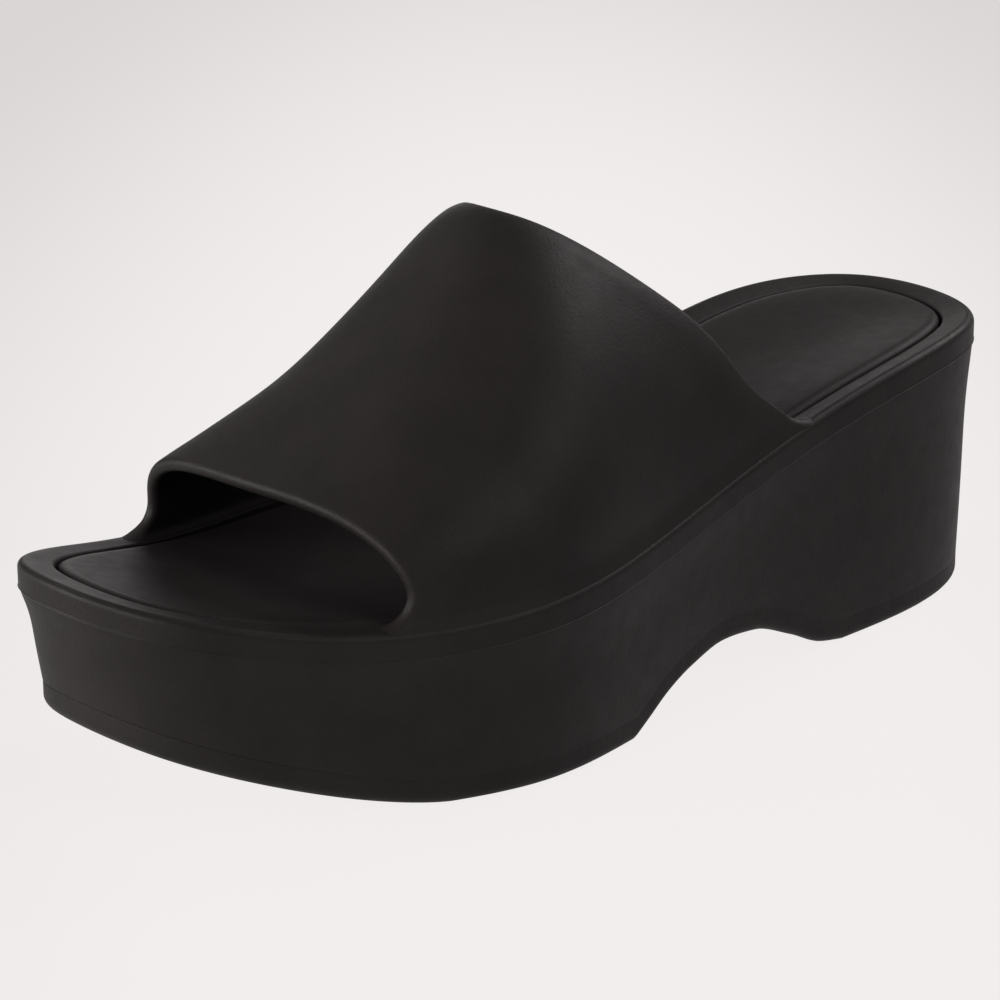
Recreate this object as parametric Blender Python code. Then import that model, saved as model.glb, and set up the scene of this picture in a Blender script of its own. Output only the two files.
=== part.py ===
"""A left platform mule: one broad upper, open at the toe and the heel, on a thick moulded sole.

Frame: +X towards the toe, +Y to the wearer's left (the outer side), +Z up, floor at Z = 0,
with the origin under the middle of the sole. Metres throughout.

The sole, the footbed and the upper are all worked out from one rim line, the outer edge of the
sole seen from above, and from two height profiles along the shoe: the rim's and the underside's.
"""

import math

import bmesh
import bpy
import numpy as np

# Overall sizes
LENGTH = 0.250
BALL_WIDTH = 0.0954
HEEL_WIDTH = 0.0690
PLATFORM_HEIGHT = 0.0397
HEEL_HEIGHT = 0.0632
TOE_LIFT = 0.0084
TOE_SPRING = 0.0183
ARCH_HEIGHT = 0.0116

# Sole
OUTSOLE_THICKNESS = 0.0055
OUTSOLE_EDGE_RADIUS = 0.0024
RIM_BAND = 0.0064
RIM_EDGE_RADIUS = 0.0018
RIM_WIDTH = 0.0074
RIM_DISH = 0.0015
MOULD_STEP = 0.0003
WALL_COVE = 0.0006
TOE_DRAFT = 0.0042
HEEL_DRAFT = 0.0025
OUTER_DRAFT = 0.0025
INNER_DRAFT = 0.0037

# Tread
GROOVE_WIDTH = 0.0026
GROOVE_DEPTH = 0.0014
GROOVE_PITCH = 0.0105
TREAD_MARGIN = 0.0120

# Footbed
FOOTBED_LEAST = 0.0022
FOOTBED_EDGE_RADIUS = 0.0020
FOOTBED_BEVEL = 0.0014
FOOTBED_DROP = 0.0008
TOE_RISE = 0.0011
HEEL_CUP_DEPTH = 0.0026
BALL_DISH_DEPTH = 0.0010

# Upper
UPPER_WALL = 0.0034
UPPER_LEDGE = 0.0018
INSTEP_HEIGHT = 0.0640

# Gap left between two pieces that are bonded face to face
BOND_GAP = 0.0003

# The recess holds the footbed at its thinnest, under the deepest part of its dish
DEEPEST_DISH = max(HEEL_CUP_DEPTH, BALL_DISH_DEPTH)
RECESS_DEPTH = FOOTBED_DROP + DEEPEST_DISH + FOOTBED_LEAST + BOND_GAP

# The rim line, from the heel round the outer side to the toe and back along the inner side:
# share along the length, share across, and the width that the share is of
PLAN_ROWS = (
    (0.000, 0.038, HEEL_WIDTH),
    (0.037, 0.291, HEEL_WIDTH),
    (0.124, 0.454, HEEL_WIDTH),
    (0.259, 0.517, HEEL_WIDTH),
    (0.411, 0.414, BALL_WIDTH),
    (0.549, 0.486, BALL_WIDTH),
    (0.678, 0.536, BALL_WIDTH),
    (0.795, 0.458, BALL_WIDTH),
    (0.893, 0.336, BALL_WIDTH),
    (0.982, 0.144, BALL_WIDTH),
    (1.000, -0.105, BALL_WIDTH),
    (0.977, -0.308, BALL_WIDTH),
    (0.916, -0.427, BALL_WIDTH),
    (0.806, -0.458, BALL_WIDTH),
    (0.690, -0.463, BALL_WIDTH),
    (0.550, -0.412, BALL_WIDTH),
    (0.400, -0.354, BALL_WIDTH),
    (0.250, -0.484, HEEL_WIDTH),
    (0.120, -0.488, HEEL_WIDTH),
    (0.010, -0.307, HEEL_WIDTH),
)

# Rim: share along, share of the rise from ball to heel, share of the toe lift, and share of
# the dish, by which its inner edge lies below its top
RIM_ROWS = (
    (0.00, 0.991, 0.00, 1.00),
    (0.12, 1.000, 0.00, 1.00),
    (0.25, 0.834, 0.00, 1.00),
    (0.40, 0.494, 0.00, 0.55),
    (0.55, 0.174, 0.00, 0.15),
    (0.70, 0.017, 0.00, 0.00),
    (0.85, 0.000, 0.00, 0.00),
    (1.00, 0.000, 1.00, 0.00),
)

# Underside between heel and forefoot: share along, share of the arch height
ARCH_ROWS = (
    (0.262, 0.00),
    (0.290, 0.11),
    (0.330, 0.49),
    (0.385, 0.92),
    (0.430, 1.00),
    (0.480, 0.80),
    (0.515, 0.54),
    (0.545, 0.21),
    (0.565, 0.00),
)
TOE_SPRING_START = 0.762
TOE_SPRING_POWER = 1.5

# Footbed: share along, share of the heel cup, share of the ball dish, share of the toe rise
FOOTBED_ROWS = (
    (0.05, 0.00, 0.00, 0.00),
    (0.10, 0.70, 0.00, 0.00),
    (0.18, 1.00, 0.00, 0.00),
    (0.36, 0.35, 0.00, 0.00),
    (0.50, 0.00, 0.20, 0.00),
    (0.70, 0.00, 1.00, 0.20),
    (0.88, 0.00, 0.40, 1.00),
    (0.95, 0.00, 0.00, 1.00),
)

# Upper sections: share along, share of the instep height above the rim, place of the crown
# across (0 at the outer foot of the wall, 1 at the inner), and squareness of the arch
UPPER_ROWS = (
    (0.28, 0.886, 0.625, 2.09),
    (0.40, 0.988, 0.626, 1.91),
    (0.46, 1.000, 0.625, 1.80),
    (0.52, 0.994, 0.611, 1.93),
    (0.56, 0.981, 0.587, 2.01),
    (0.60, 0.898, 0.548, 2.12),
    (0.66, 0.730, 0.522, 2.18),
    (0.71, 0.583, 0.520, 2.35),
    (0.76, 0.456, 0.531, 2.83),
    (0.80, 0.369, 0.555, 3.12),
    (0.86, 0.273, 0.589, 3.12),
)
TOE_EDGE_OUTER, TOE_EDGE_CROWN, TOE_EDGE_INNER = 0.787, 0.8225, 0.803
THROAT_OUTER, THROAT_CROWN, THROAT_INNER = 0.391, 0.554, 0.373
TOE_FLARE, THROAT_FLARE = 0.020, 0.045
FLARE_REACH = 0.06

# Stations along the shoe: closer together at the round ends and over the arch
HEEL_ROUND, HEEL_ROUND_STEPS = 0.12, 8
TOE_ROUND, TOE_ROUND_STEPS = 0.84, 10
HEEL_STEPS, ARCH_STEPS, BALL_STEPS = 4, 18, 8
OUTLINE_POINTS = 1440
FOOTBED_COLUMNS = 8
UPPER_COLUMNS = 40
UPPER_ROW_COUNT = 14
FOOT_CROWDING = 0.45
# The upper's rolled edge: share of half the wall back from the edge, share of the wall inwards
EDGE_ROUND = ((1.00, 0.00), (0.30, 0.09), (0.00, 0.34), (0.00, 0.66), (0.30, 0.91), (1.00, 1.00))


def steady_slopes(xs, ys):
    """Slopes that keep a curve from swinging past its rows: weighted harmonic means."""
    steps = np.diff(xs)
    rises = np.diff(ys) / steps
    slopes = np.zeros(len(xs))
    slopes[0], slopes[-1] = rises[0], rises[-1]
    for i in range(1, len(xs) - 1):
        before, after = rises[i - 1], rises[i]
        if before * after > 0:
            near, far = 2 * steps[i] + steps[i - 1], steps[i] + 2 * steps[i - 1]
            slopes[i] = (near + far) / (near / before + far / after)
    return slopes


def even_slopes(xs, ys):
    """Slopes that leave no jump in the curvature, and none of it at the two ends."""
    steps = np.diff(xs)
    rises = np.diff(ys) / steps
    count = len(xs)
    system, right = np.zeros((count, count)), np.zeros(count)
    system[0, :2], right[0] = (2, 1), 3 * rises[0]
    system[-1, -2:], right[-1] = (1, 2), 3 * rises[-1]
    for i in range(1, count - 1):
        before, after = steps[i - 1], steps[i]
        system[i, i - 1 : i + 2] = after, 2 * (before + after), before
        right[i] = 3 * (after * rises[i - 1] + before * rises[i])
    return np.linalg.solve(system, right)


def rows_as_curve(rows, column, slopes_of):
    """A smooth function of the share along, by cubics through one column of a table."""
    xs = np.array([row[0] for row in rows])
    ys = np.array([row[column] for row in rows])
    steps, slopes = np.diff(xs), slopes_of(xs, ys)

    def curve(at):
        at = np.clip(np.asarray(at, float), xs[0], xs[-1])
        i = np.clip(np.searchsorted(xs, at, side="right") - 1, 0, len(steps) - 1)
        t = (at - xs[i]) / steps[i]
        return (
            ys[i] * (1 + 2 * t) * (1 - t) ** 2
            + ys[i + 1] * t**2 * (3 - 2 * t)
            + steps[i] * (slopes[i] * t * (1 - t) ** 2 - slopes[i + 1] * t**2 * (1 - t))
        )

    return curve


def closed_spline(points, count):
    """Points along the closed curve through the given ones whose curvature has no jump."""
    steps = np.linalg.norm(np.roll(points, -1, axis=0) - points, axis=1)
    n = len(points)
    system = np.zeros((n, n))
    right = np.zeros((n, 2))
    for i in range(n):
        before, after = steps[i - 1], steps[i]
        system[i, i - 1], system[i, i], system[i, (i + 1) % n] = before, 2 * (before + after), after
        rise = (points[(i + 1) % n] - points[i]) / after
        right[i] = 6 * (rise - (points[i] - points[i - 1]) / before)
    bends = np.linalg.solve(system, right)
    ends = np.concatenate([[0], np.cumsum(steps)])
    at = np.linspace(0, ends[-1], count, endpoint=False)
    i = np.clip(np.searchsorted(ends, at, side="right") - 1, 0, n - 1)
    j = (i + 1) % n
    h = steps[i][:, None]
    b = (at - ends[i])[:, None] / h
    a = 1 - b
    lift = ((a**3 - a) * bends[i] + (b**3 - b) * bends[j]) * h**2 / 6
    return a * points[i] + b * points[j] + lift


def along_of(x):
    """Share along the shoe, 0 at the back of the heel and 1 at the toe."""
    return np.asarray(x) / LENGTH + 0.5


rim_rise = rows_as_curve(RIM_ROWS, 1, even_slopes)
rim_lift = rows_as_curve(RIM_ROWS, 2, even_slopes)
rim_dish = rows_as_curve(RIM_ROWS, 3, steady_slopes)
arch_share = rows_as_curve(ARCH_ROWS, 1, steady_slopes)
cup_share = rows_as_curve(FOOTBED_ROWS, 1, steady_slopes)
dish_share = rows_as_curve(FOOTBED_ROWS, 2, steady_slopes)
toe_rise_share = rows_as_curve(FOOTBED_ROWS, 3, steady_slopes)
upper_height = rows_as_curve(UPPER_ROWS, 1, even_slopes)
upper_crown = rows_as_curve(UPPER_ROWS, 2, even_slopes)
upper_squareness = rows_as_curve(UPPER_ROWS, 3, even_slopes)


def rim_height(x):
    """Height of the rim's top at a place along the shoe."""
    s = along_of(x)
    return PLATFORM_HEIGHT + (HEEL_HEIGHT - PLATFORM_HEIGHT) * rim_rise(s) + TOE_LIFT * rim_lift(s)


def rim_surface(x, inset):
    """Height of the rim's flat part at an inset: it slopes down to its dished inner edge."""
    share = np.clip((inset - RIM_EDGE_RADIUS) / (RIM_WIDTH - RIM_EDGE_RADIUS), 0, 1)
    return rim_height(x) - RIM_DISH * rim_dish(along_of(x)) * share


def underside_height(x):
    """Height of the underside: flat under heel and ball, arched between, sprung up at the toe."""
    s = along_of(x)
    sprung = np.clip((s - TOE_SPRING_START) / (1 - TOE_SPRING_START), 0, None)
    return ARCH_HEIGHT * arch_share(s) + TOE_SPRING * sprung**TOE_SPRING_POWER


def station_shares():
    """Shares along at which the outline is sampled, from heel to toe."""
    heel_angles = np.linspace(0, math.pi / 2, HEEL_ROUND_STEPS, endpoint=False)
    toe_angles = np.linspace(math.pi / 2, 0, TOE_ROUND_STEPS + 1)
    ends = (HEEL_ROUND, ARCH_ROWS[0][0], ARCH_ROWS[-1][0], TOE_ROUND)
    counts = (HEEL_STEPS, ARCH_STEPS, BALL_STEPS)
    heel = HEEL_ROUND * (1 - np.cos(heel_angles))
    middle = [np.linspace(a, b, n, endpoint=False) for a, b, n in zip(ends, ends[1:], counts)]
    toe = 1 - (1 - TOE_ROUND) * (1 - np.cos(toe_angles))
    return np.concatenate([heel, *middle, toe])


def rim_line():
    """The dense rim line seen from above, centred on the origin, with its outward normals."""
    corners = np.array([((s - 0.5) * LENGTH, share * width) for s, share, width in PLAN_ROWS])
    line = closed_spline(corners, OUTLINE_POINTS)
    line -= (line.min(axis=0) + line.max(axis=0)) / 2
    line[:, 0] *= LENGTH / np.ptp(line[:, 0])
    tangent = np.roll(line, -1, axis=0) - np.roll(line, 1, axis=0)
    tangent /= np.linalg.norm(tangent, axis=1)[:, None]
    turn = np.sign(np.sum(line[:, 0] * tangent[:, 1] - line[:, 1] * tangent[:, 0]))
    return line, np.stack([tangent[:, 1], -tangent[:, 0]], axis=1) * turn


LINE, NORMALS = rim_line()
HEEL_TIP, TOE_TIP = int(np.argmin(LINE[:, 0])), int(np.argmax(LINE[:, 0]))
SHARES = station_shares()
LAST = len(SHARES) - 1


def side_indices(outer):
    """Indices into LINE of one side, in order from the heel tip to the toe tip."""
    forward = np.arange(HEEL_TIP, HEEL_TIP + (TOE_TIP - HEEL_TIP) % OUTLINE_POINTS + 1)
    backward = np.arange(HEEL_TIP, HEEL_TIP - (HEEL_TIP - TOE_TIP) % OUTLINE_POINTS - 1, -1)
    forward, backward = forward % OUTLINE_POINTS, backward % OUTLINE_POINTS
    forward_is_outer = LINE[forward, 1].mean() > LINE[backward, 1].mean()
    return forward if forward_is_outer == outer else backward


def ring_base():
    """The rim line sampled at the stations: outer side heel to toe, then inner side back."""
    points, normals = [], []
    for outer in (True, False):
        side = side_indices(outer)
        order = SHARES if outer else SHARES[-2:0:-1]
        shares = along_of(LINE[side, 0])
        for sampled, source in ((points, LINE), (normals, NORMALS)):
            sampled.append(np.stack([np.interp(order, shares, source[side, k]) for k in (0, 1)], axis=1))
    points, normals = np.concatenate(points), np.concatenate(normals)
    return points, normals / np.linalg.norm(normals, axis=1)[:, None]


RING, RING_NORMALS = ring_base()


def ring(inset):
    """The rim line moved inwards by one inset, or by one for each point."""
    return RING - RING_NORMALS * np.broadcast_to(inset, len(RING))[:, None]


def wall_draft():
    """How far the foot of the sole's wall lies inside the rim line, by the way it faces."""
    nx, ny = RING_NORMALS[:, 0], RING_NORMALS[:, 1]
    return (
        TOE_DRAFT * np.clip(nx, 0, 1) ** 2
        + HEEL_DRAFT * np.clip(-nx, 0, 1) ** 2
        + OUTER_DRAFT * np.clip(ny, 0, 1) ** 2
        + INNER_DRAFT * np.clip(-ny, 0, 1) ** 2
    )


def side_line(along, inset, outer):
    """Distance across, at shares along, of the rim line moved inwards on one side."""
    side = side_indices(outer)
    moved = LINE[side] - NORMALS[side] * inset
    moved = moved[np.argsort(moved[:, 0])]
    return np.interp(along, along_of(moved[:, 0]), moved[:, 1])


def level(inset, height):
    """One closed loop of the sole: the rim line moved inwards, at a height for each point."""
    plan = ring(inset)
    return np.column_stack([plan, height(plan[:, 0])])


def new_object(name, mesh, material):
    """An object in the scene for a bmesh, with its material."""
    data = bpy.data.meshes.new(name)
    bmesh.ops.recalc_face_normals(mesh, faces=mesh.faces)
    mesh.to_mesh(data)
    mesh.free()
    data.shade_smooth()
    data.set_sharp_from_angle(angle=math.radians(35))
    data.materials.append(material)
    obj = bpy.data.objects.new(name, data)
    bpy.context.scene.collection.objects.link(obj)
    return obj


def finish_material(name, colour, roughness):
    """A matt moulded finish."""
    material = bpy.data.materials.new(name)
    material.use_nodes = True
    shader = material.node_tree.nodes["Principled BSDF"]
    shader.inputs["Base Color"].default_value = (*colour, 1)
    shader.inputs["Roughness"].default_value = roughness
    shader.inputs["Metallic"].default_value = 0
    return material


def bridge(mesh, lower, upper):
    """Quads between two closed loops of the same length."""
    count = len(lower)
    for i in range(count):
        j = (i + 1) % count
        mesh.faces.new((lower[i], lower[j], upper[j], upper[i]))


def fill_across(mesh, loop, surface, columns):
    """Closes a loop of the sole with strips from its outer side to its inner side.

    surface gives the height at points inside the loop; columns is the strips' count across."""
    lines = [[loop[0]] * (columns + 1)]
    for i in range(1, LAST):
        outer, inner = loop[i], loop[len(loop) - i]
        shares = np.arange(1, columns) / columns
        plan = np.outer(1 - shares, outer.co[:2]) + np.outer(shares, inner.co[:2])
        heights = surface(plan[:, 0], 2 * shares - 1, outer.co.z + (inner.co.z - outer.co.z) * shares)
        between = [mesh.verts.new((*p, z)) for p, z in zip(plan, heights)]
        lines.append([outer, *between, inner])
    lines.append([loop[LAST]] * (columns + 1))
    for first, second in zip(lines, lines[1:]):
        for k in range(columns):
            corners = dict.fromkeys((first[k], first[k + 1], second[k + 1], second[k]))
            mesh.faces.new(tuple(corners))


def straight_across(x, across, chord):
    """A cap with no dish: heights on the straight line between its two sides."""
    return chord


def stacked_solid(name, loops, material, columns=(1, 1), top_surface=straight_across):
    """A closed solid through loops of the sole, capped across at the bottom and the top."""
    mesh = bmesh.new()
    rings = [[mesh.verts.new(p) for p in loop] for loop in loops]
    for lower, upper in zip(rings, rings[1:]):
        bridge(mesh, lower, upper)
    fill_across(mesh, rings[0], straight_across, columns[0])
    fill_across(mesh, rings[-1], top_surface, columns[1])
    return new_object(name, mesh, material)


def round_steps(radius, steps):
    """(inset, height) pairs of a quarter round, from its low end to its top end."""
    angles = np.linspace(0, math.pi / 2, steps + 1)
    return [(radius * (1 - math.cos(a)), radius * math.sin(a)) for a in angles]


def make_outsole(material):
    """The walking layer: it follows the underside and has a rounded lower edge."""
    draft = wall_draft()
    loops = []
    for inset, down in reversed(round_steps(OUTSOLE_EDGE_RADIUS, 2)):
        rise = OUTSOLE_EDGE_RADIUS - down
        loops.append(level(draft + inset, lambda x, rise=rise: underside_height(x) + rise))
    loops.append(level(draft, lambda x: underside_height(x) + OUTSOLE_THICKNESS))
    outsole = stacked_solid("outsole", loops, material)
    cut_tread(outsole)
    return outsole


def tread_places():
    """Places along the shoe of the cross grooves, under the heel and under the forefoot."""
    places = []
    zones = ((0.045, ARCH_ROWS[0][0] - 0.03), (ARCH_ROWS[-1][0] + 0.03, 0.93))
    for start, end in zones:
        count = int((end - start) * LENGTH / GROOVE_PITCH)
        margin = ((end - start) * LENGTH - (count - 1) * GROOVE_PITCH) / 2
        first = (start - 0.5) * LENGTH + margin
        places += [first + i * GROOVE_PITCH for i in range(count)]
    return places


def cut_tread(outsole):
    """Cuts the cross grooves, each stopping short of the sole's edge."""
    cutters = bmesh.new()
    for x in tread_places():
        outer = side_line(along_of(x), TREAD_MARGIN, True)
        inner = side_line(along_of(x), TREAD_MARGIN, False)
        low, high = underside_height(x) - 2 * GROOVE_DEPTH, underside_height(x) + GROOVE_DEPTH
        bar = bmesh.ops.create_cube(cutters, size=1)["verts"]
        bmesh.ops.scale(cutters, verts=bar, vec=(GROOVE_WIDTH, outer - inner, high - low))
        bmesh.ops.translate(cutters, verts=bar, vec=(x, (outer + inner) / 2, (low + high) / 2))
    cutter = new_object("tread_cutter", cutters, outsole.data.materials[0])
    cutter.hide_render = True
    cutter.display_type = "WIRE"
    grooves = outsole.modifiers.new("tread grooves", "BOOLEAN")
    grooves.object = cutter
    grooves.operation = "DIFFERENCE"


def make_platform(material):
    """The thick moulded body: drafted wall, mould line, raised rim and the footbed's recess."""
    draft = wall_draft()
    foot = OUTSOLE_THICKNESS + BOND_GAP

    def wall(share_up):
        """Height on the wall, a share of the way up to the mould line."""

        def height(x):
            low, high = underside_height(x) + foot, rim_height(x) - RIM_BAND
            return low + (high - low) * share_up

        return height

    def below_rim(depth):
        return lambda x: rim_height(x) - depth

    loops = [
        level(draft, wall(0)),
        level(draft * 0.62 + WALL_COVE * 0.5, wall(0.45)),
        level(draft * 0.25 + WALL_COVE, wall(0.82)),
        level(MOULD_STEP, wall(1)),
        level(0, below_rim(RIM_BAND - 2 * MOULD_STEP)),
    ]
    for inset, rise in round_steps(RIM_EDGE_RADIUS, 2):
        loops.append(level(inset, below_rim(RIM_EDGE_RADIUS - rise)))
    loops.append(level(RIM_WIDTH, lambda x: rim_surface(x, RIM_WIDTH)))
    loops.append(level(RIM_WIDTH, below_rim(RECESS_DEPTH)))
    return stacked_solid("platform", loops, material)


def footbed_top(x):
    """Height of the footbed's edge: below the rim's top at the heel, level with it at the toe."""
    return rim_height(x) - FOOTBED_DROP + TOE_RISE * toe_rise_share(along_of(x))


def footbed_dish(x, across, chord):
    """Height inside the footbed: a cup at the heel and a shallow dish at the ball."""
    s = along_of(x)
    depth = HEEL_CUP_DEPTH * cup_share(s) + BALL_DISH_DEPTH * dish_share(s)
    return chord - depth * (1 - across**2) ** 1.5


def make_footbed(material):
    """The insole: a contoured pad with a rounded edge, set into the recess."""
    side = RIM_WIDTH + BOND_GAP
    loops = [
        level(side, lambda x: rim_height(x) - RECESS_DEPTH + BOND_GAP),
        level(side, lambda x: footbed_top(x) - FOOTBED_EDGE_RADIUS),
    ]
    for inset, rise in round_steps(FOOTBED_EDGE_RADIUS, 2)[1:]:
        depth = FOOTBED_EDGE_RADIUS - rise
        inset *= 1 + FOOTBED_BEVEL / FOOTBED_EDGE_RADIUS
        loops.append(level(side + inset, lambda x, depth=depth: footbed_top(x) - depth))
    return stacked_solid("footbed", loops, material, (1, FOOTBED_COLUMNS), footbed_dish)


def edge_flare(t):
    """1 where the upper's edge meets the rim, falling to 0 a little way up the wall."""
    return np.exp(-((np.minimum(t, 1 - t) / FLARE_REACH) ** 2))


def toe_edge(t):
    """Share along of the toe opening's edge; t is 0 at the wall's outer foot, 1 at its inner."""
    bow = 4 * t * (1 - t)
    sides = TOE_EDGE_OUTER + (TOE_EDGE_INNER - TOE_EDGE_OUTER) * t
    middle = (TOE_EDGE_OUTER + TOE_EDGE_INNER) / 2
    return sides + (TOE_EDGE_CROWN - middle) * bow + TOE_FLARE * edge_flare(t)


def throat_edge(t):
    """Share along of the throat's edge: furthest forward over the crown."""
    sides = THROAT_OUTER + (THROAT_INNER - THROAT_OUTER) * t
    swept = np.sin(math.pi * t) ** 2
    return sides + (THROAT_CROWN - sides) * swept - THROAT_FLARE * edge_flare(t)


def upper_face(back, t):
    """Points of the upper's outer face: a share back from the toe edge, t of the way over.

    The section at one share along is a superellipse standing on the rim. Its crown is moved
    to one side by a parabola, so that the two halves meet with no crease."""
    s = toe_edge(t) + (throat_edge(t) - toe_edge(t)) * back
    outer, inner = side_line(s, UPPER_LEDGE, True), side_line(s, UPPER_LEDGE, False)
    squareness = upper_squareness(s)
    cosine, sine = np.cos(math.pi * t), np.sin(math.pi * t)
    reach = (np.abs(cosine) ** squareness + np.abs(sine) ** squareness) ** (-1 / squareness)
    across = reach * cosine
    half, crown = (outer - inner) / 2, outer + (inner - outer) * upper_crown(s)
    y = crown + half * across + ((outer + inner) / 2 - crown) * across**2
    x = (s - 0.5) * LENGTH
    z = rim_height(x) + BOND_GAP + INSTEP_HEIGHT * upper_height(s) * reach * sine
    return np.stack([x, y, z], axis=-1)


def upper_wall(back, t, depth):
    """Points of the upper's wall, the given depth inside its outer face."""
    step = 1e-4
    lengthwise = upper_face(back + step, t) - upper_face(back - step, t)
    over = upper_face(back, t + step) - upper_face(back, t - step)
    inwards = np.cross(over, lengthwise)
    inwards /= np.linalg.norm(inwards, axis=-1)[..., None]
    points = upper_face(back, t) + inwards * depth[..., None]
    foot = (t == 0) | (t == 1)
    points[foot, 2] = rim_surface(points[foot, 0], UPPER_LEDGE + depth[foot]) + BOND_GAP
    return points


def upper_columns():
    """Closed loops round the wall, one for each column over it: outer face, throat edge,
    inner face and toe edge."""
    even = np.linspace(0, 1, UPPER_COLUMNS + 1)
    t = even + FOOT_CROWDING * ((1 - np.cos(math.pi * even)) / 2 - even)
    ends = upper_face(np.ones_like(t), t) - upper_face(np.zeros_like(t), t)
    half_wall = UPPER_WALL / 2 / np.linalg.norm(ends, axis=1)
    shares = np.linspace(half_wall, 1 - half_wall, UPPER_ROW_COUNT)
    back = list(shares)
    depth = [0.0] * UPPER_ROW_COUNT
    for rounding, inwards in EDGE_ROUND[1:-1]:
        back.append(1 - half_wall * rounding)
        depth.append(inwards)
    back += list(shares[::-1])
    depth += [1.0] * UPPER_ROW_COUNT
    for rounding, inwards in EDGE_ROUND[-2:0:-1]:
        back.append(half_wall * rounding)
        depth.append(inwards)
    back = np.array(back)
    depth = np.array(depth)[:, None] * np.full_like(t, UPPER_WALL)
    return upper_wall(back, np.broadcast_to(t, back.shape), depth).transpose(1, 0, 2)


def make_upper(material):
    """The upper: one curved wall over the forefoot, open at the toe, the throat and below."""
    mesh = bmesh.new()
    columns = [[mesh.verts.new(p) for p in column] for column in upper_columns()]
    for first, second in zip(columns, columns[1:]):
        bridge(mesh, first, second)
    for column in (columns[0], columns[-1]):
        close_foot(mesh, column)
    return new_object("upper", mesh, material)


def close_foot(mesh, column):
    """Closes the foot of the upper's wall with a strip of faces between its two sides."""
    rounded = len(EDGE_ROUND) - 2
    outer = column[:UPPER_ROW_COUNT]
    throat = column[UPPER_ROW_COUNT : UPPER_ROW_COUNT + rounded]
    inner = column[UPPER_ROW_COUNT + rounded : 2 * UPPER_ROW_COUNT + rounded][::-1]
    toe = column[2 * UPPER_ROW_COUNT + rounded :]
    for i in range(UPPER_ROW_COUNT - 1):
        mesh.faces.new((outer[i], outer[i + 1], inner[i + 1], inner[i]))
    mesh.faces.new((outer[-1], *throat, inner[-1]))
    mesh.faces.new((inner[0], *toe, outer[0]))


def main():
    for obj in list(bpy.data.objects):
        bpy.data.objects.remove(obj, do_unlink=True)
    black_foam = finish_material("black foam", (0.016, 0.014, 0.014), 0.62)
    black_tread = finish_material("black tread", (0.014, 0.013, 0.013), 0.70)
    black_bed = finish_material("black footbed", (0.018, 0.016, 0.016), 0.58)
    make_outsole(black_tread)
    make_platform(black_foam)
    make_footbed(black_bed)
    make_upper(black_foam)


main()
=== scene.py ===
"""The look of a left platform mule, moulded in matt black foam.

Metres, +X towards the toe, +Y to the wearer's left, which is the shoe's outer side, +Z up, the
floor at Z = 0. Every surface is worked out from the rim line, the outer edge of the sole seen
from above, from the heights of the rim and of the underside, and from the upper's sections.
"""

import math

import bmesh
import bpy
import numpy as np
from mathutils import Matrix


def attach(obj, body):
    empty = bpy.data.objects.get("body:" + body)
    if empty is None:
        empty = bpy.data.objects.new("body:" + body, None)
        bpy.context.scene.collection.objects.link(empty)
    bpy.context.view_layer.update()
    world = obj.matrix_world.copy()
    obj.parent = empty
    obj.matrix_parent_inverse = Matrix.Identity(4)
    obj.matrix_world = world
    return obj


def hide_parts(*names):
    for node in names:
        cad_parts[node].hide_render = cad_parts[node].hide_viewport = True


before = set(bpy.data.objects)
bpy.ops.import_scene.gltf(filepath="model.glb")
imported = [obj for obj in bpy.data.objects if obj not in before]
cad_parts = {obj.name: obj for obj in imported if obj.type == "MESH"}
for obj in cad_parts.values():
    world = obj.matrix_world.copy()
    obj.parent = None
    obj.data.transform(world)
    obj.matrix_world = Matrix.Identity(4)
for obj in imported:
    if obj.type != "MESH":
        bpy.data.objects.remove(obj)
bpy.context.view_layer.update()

# Overall sizes
LENGTH = 0.250
BALL_WIDTH = 0.0954
HEEL_WIDTH = 0.0690
PLATFORM_HEIGHT = 0.0397
HEEL_HEIGHT = 0.0632
TOE_LIFT = 0.0084
TOE_SPRING = 0.0183
ARCH_HEIGHT = 0.0116

# Sole
OUTSOLE_THICKNESS = 0.0055
OUTSOLE_EDGE_RADIUS = 0.0024
RIM_BAND = 0.0064
RIM_EDGE_RADIUS = 0.0018
RIM_INNER_RADIUS = 0.0007
RIM_WIDTH = 0.0074
RIM_DISH = 0.0015
MOULD_STEP = 0.0003
WALL_COVE = 0.0005
FLASH_HEIGHT = 0.00014
SEAM_ROUND = 0.00014
TOE_DRAFT = 0.0042
HEEL_DRAFT = 0.0025
OUTER_DRAFT = 0.0025
INNER_DRAFT = 0.0037

# Tread
GROOVE_WIDTH = 0.0026
GROOVE_DEPTH = 0.0014
GROOVE_PITCH = 0.0105
GROOVE_SLOPE = 0.0003
TREAD_MARGIN = 0.0120

# Footbed
FOOTBED_GAP = 0.0007
FOOTBED_EDGE_RADIUS = 0.0013
FOOTBED_BEVEL = 0.0010
FOOTBED_DROP = 0.0008
TOE_RISE = 0.0011
HEEL_CUP_DEPTH = 0.0026
BALL_DISH_DEPTH = 0.0010
RECESS_DEPTH = 0.0059

# Upper
UPPER_WALL = 0.0034
UPPER_LEDGE = 0.0018
INSTEP_HEIGHT = 0.0640
OUTER_FILLET = (0.0012, 0.0050)
INNER_FILLET = (0.0012, 0.0022)
LIP_FILLET = (0.0024, 0.0034)
FILLET_POWER = 2.4
THROAT_ROLL = 0.0009
TOE_ROLL = 0.0004
ROLL_REACH = 0.0075
BOND_GAP = 0.0003
BOND_SINK = 0.00006

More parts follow.
